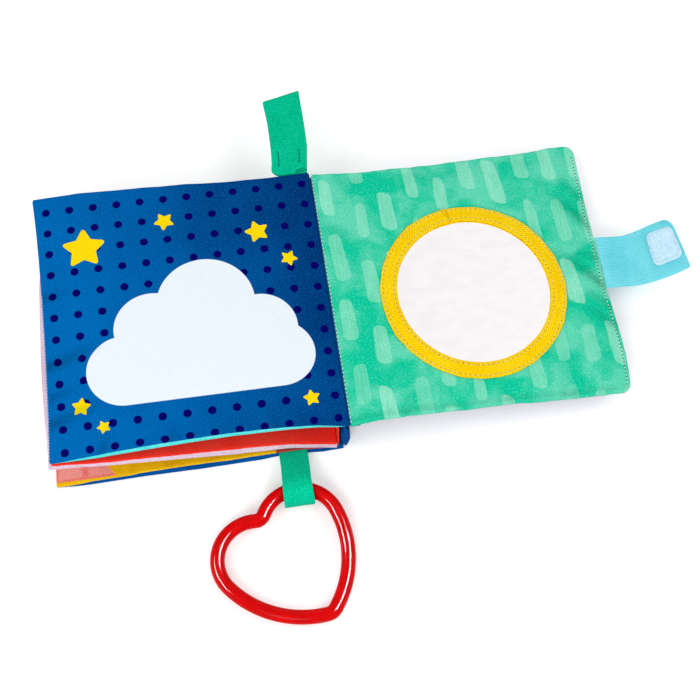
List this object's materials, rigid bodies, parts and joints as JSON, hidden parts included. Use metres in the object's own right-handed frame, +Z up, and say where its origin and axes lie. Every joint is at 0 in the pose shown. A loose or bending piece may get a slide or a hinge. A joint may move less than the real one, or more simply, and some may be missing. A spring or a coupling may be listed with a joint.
{
  "type": "soft cloth book",
  "caption": "Padded cloth baby book lying open on its front cover, with turning leaves, a mirror page, a closing tab, a hanging loop and a heart-shaped ring on a strap.",
  "frame": {"origin": "middle of the front cover's flat underside, on the table", "axes": "+X across the open spread from the front cover to the back cover and its tab, +Y up the page to the hanging loop, +Z up off the table"},
  "size_m": [0.3508, 0.2938, 0.0318],
  "materials": {
    "cover_cloth": "woven polyester, printed dark blue",
    "salmon_cloth": "woven polyester, printed salmon and yellow",
    "red_cloth": "woven polyester, printed red",
    "lavender_cloth": "woven polyester, printed lavender",
    "blue_cloth": "woven polyester, printed blue with dots, a cloud and stars",
    "turquoise_cloth": "woven polyester, printed turquoise",
    "green_cloth": "woven polyester, printed green with lighter dabs",
    "yellow_twill": "twill tape, stitched",
    "tab_cloth": "ribbed knit",
    "fastener": "hook and loop tape",
    "webbing": "woven webbing",
    "batting": "polyester batting",
    "mirror_film": "silvered plastic film",
    "heart_plastic": "moulded, glossy"
  },
  "bodies": {
    "front_cover": {"front_cover_outer_cloth": "cover_cloth", "front_cover_inner_cloth": "salmon_cloth", "front_cover_pad": "batting", "fastener_loop_patch": "fastener", "spine_outer_cloth": "cover_cloth", "spine_inner_cloth": "cover_cloth", "spine_pad": "batting", "spine_hinge_band": "cover_cloth"},
    "middle_leaf": {"middle_leaf_upper_cloth": "red_cloth", "middle_leaf_lower_cloth": "lavender_cloth", "middle_leaf_pad": "batting", "middle_leaf_gutter_strip": "red_cloth"},
    "top_leaf": {"top_leaf_upper_cloth": "blue_cloth", "top_leaf_lower_cloth": "turquoise_cloth", "top_leaf_pad": "batting"},
    "hanging_loop": {"hanging_loop": "webbing"},
    "back_cover": {"back_cover_inner_cloth": "green_cloth", "back_cover_outer_cloth": "cover_cloth", "back_cover_pad": "batting", "mirror_film": "mirror_film", "mirror_ring": "yellow_twill", "closure_tab_base": "tab_cloth"},
    "closure_tab": {"closure_tab_strap": "tab_cloth", "fastener_hook_patch": "fastener"},
    "ring_strap": {"ring_strap": "webbing"},
    "heart_ring": {"heart_ring": "heart_plastic"}
  },
  "joints": [
    {"name": "middle_leaf_turn", "type": "hinge", "parent": "front_cover", "child": "middle_leaf", "pos_m": [0.07905, 0, 0.0293], "axis": [0, 1, 0], "range_deg": [0, 180]},
    {"name": "top_leaf_turn", "type": "hinge", "parent": "middle_leaf", "child": "top_leaf", "pos_m": [0.07905, 0, 0.0293], "axis": [0, 1, 0], "range_deg": [0, 180]},
    {"name": "hanging_loop_flex", "type": "hinge", "parent": "top_leaf", "child": "hanging_loop", "pos_m": [0.06875, 0.0767, 0.02695], "axis": [1, 0, 0], "range_deg": [0, 80]},
    {"name": "back_cover_turn", "type": "hinge", "parent": "front_cover", "child": "back_cover", "pos_m": [0.07905, 0, 0.0293], "axis": [0, 1, 0], "range_deg": [-180, 0]},
    {"name": "closure_tab_fold", "type": "hinge", "parent": "back_cover", "child": "closure_tab", "pos_m": [0.23679, 0.006, 0.01403], "axis": [0, 1, 0], "range_deg": [-70, 0]},
    {"name": "ring_strap_flex", "type": "hinge", "parent": "front_cover", "child": "ring_strap", "pos_m": [0.0484, -0.0755, 0.0026], "axis": [-1, 0, 0], "range_deg": [0, 40]},
    {"name": "heart_ring_swing", "type": "hinge", "parent": "ring_strap", "child": "heart_ring", "pos_m": [0.0484, -0.09926, 0.00695], "axis": [-1, 0, 0], "range_deg": [0, 90]}
  ]
}
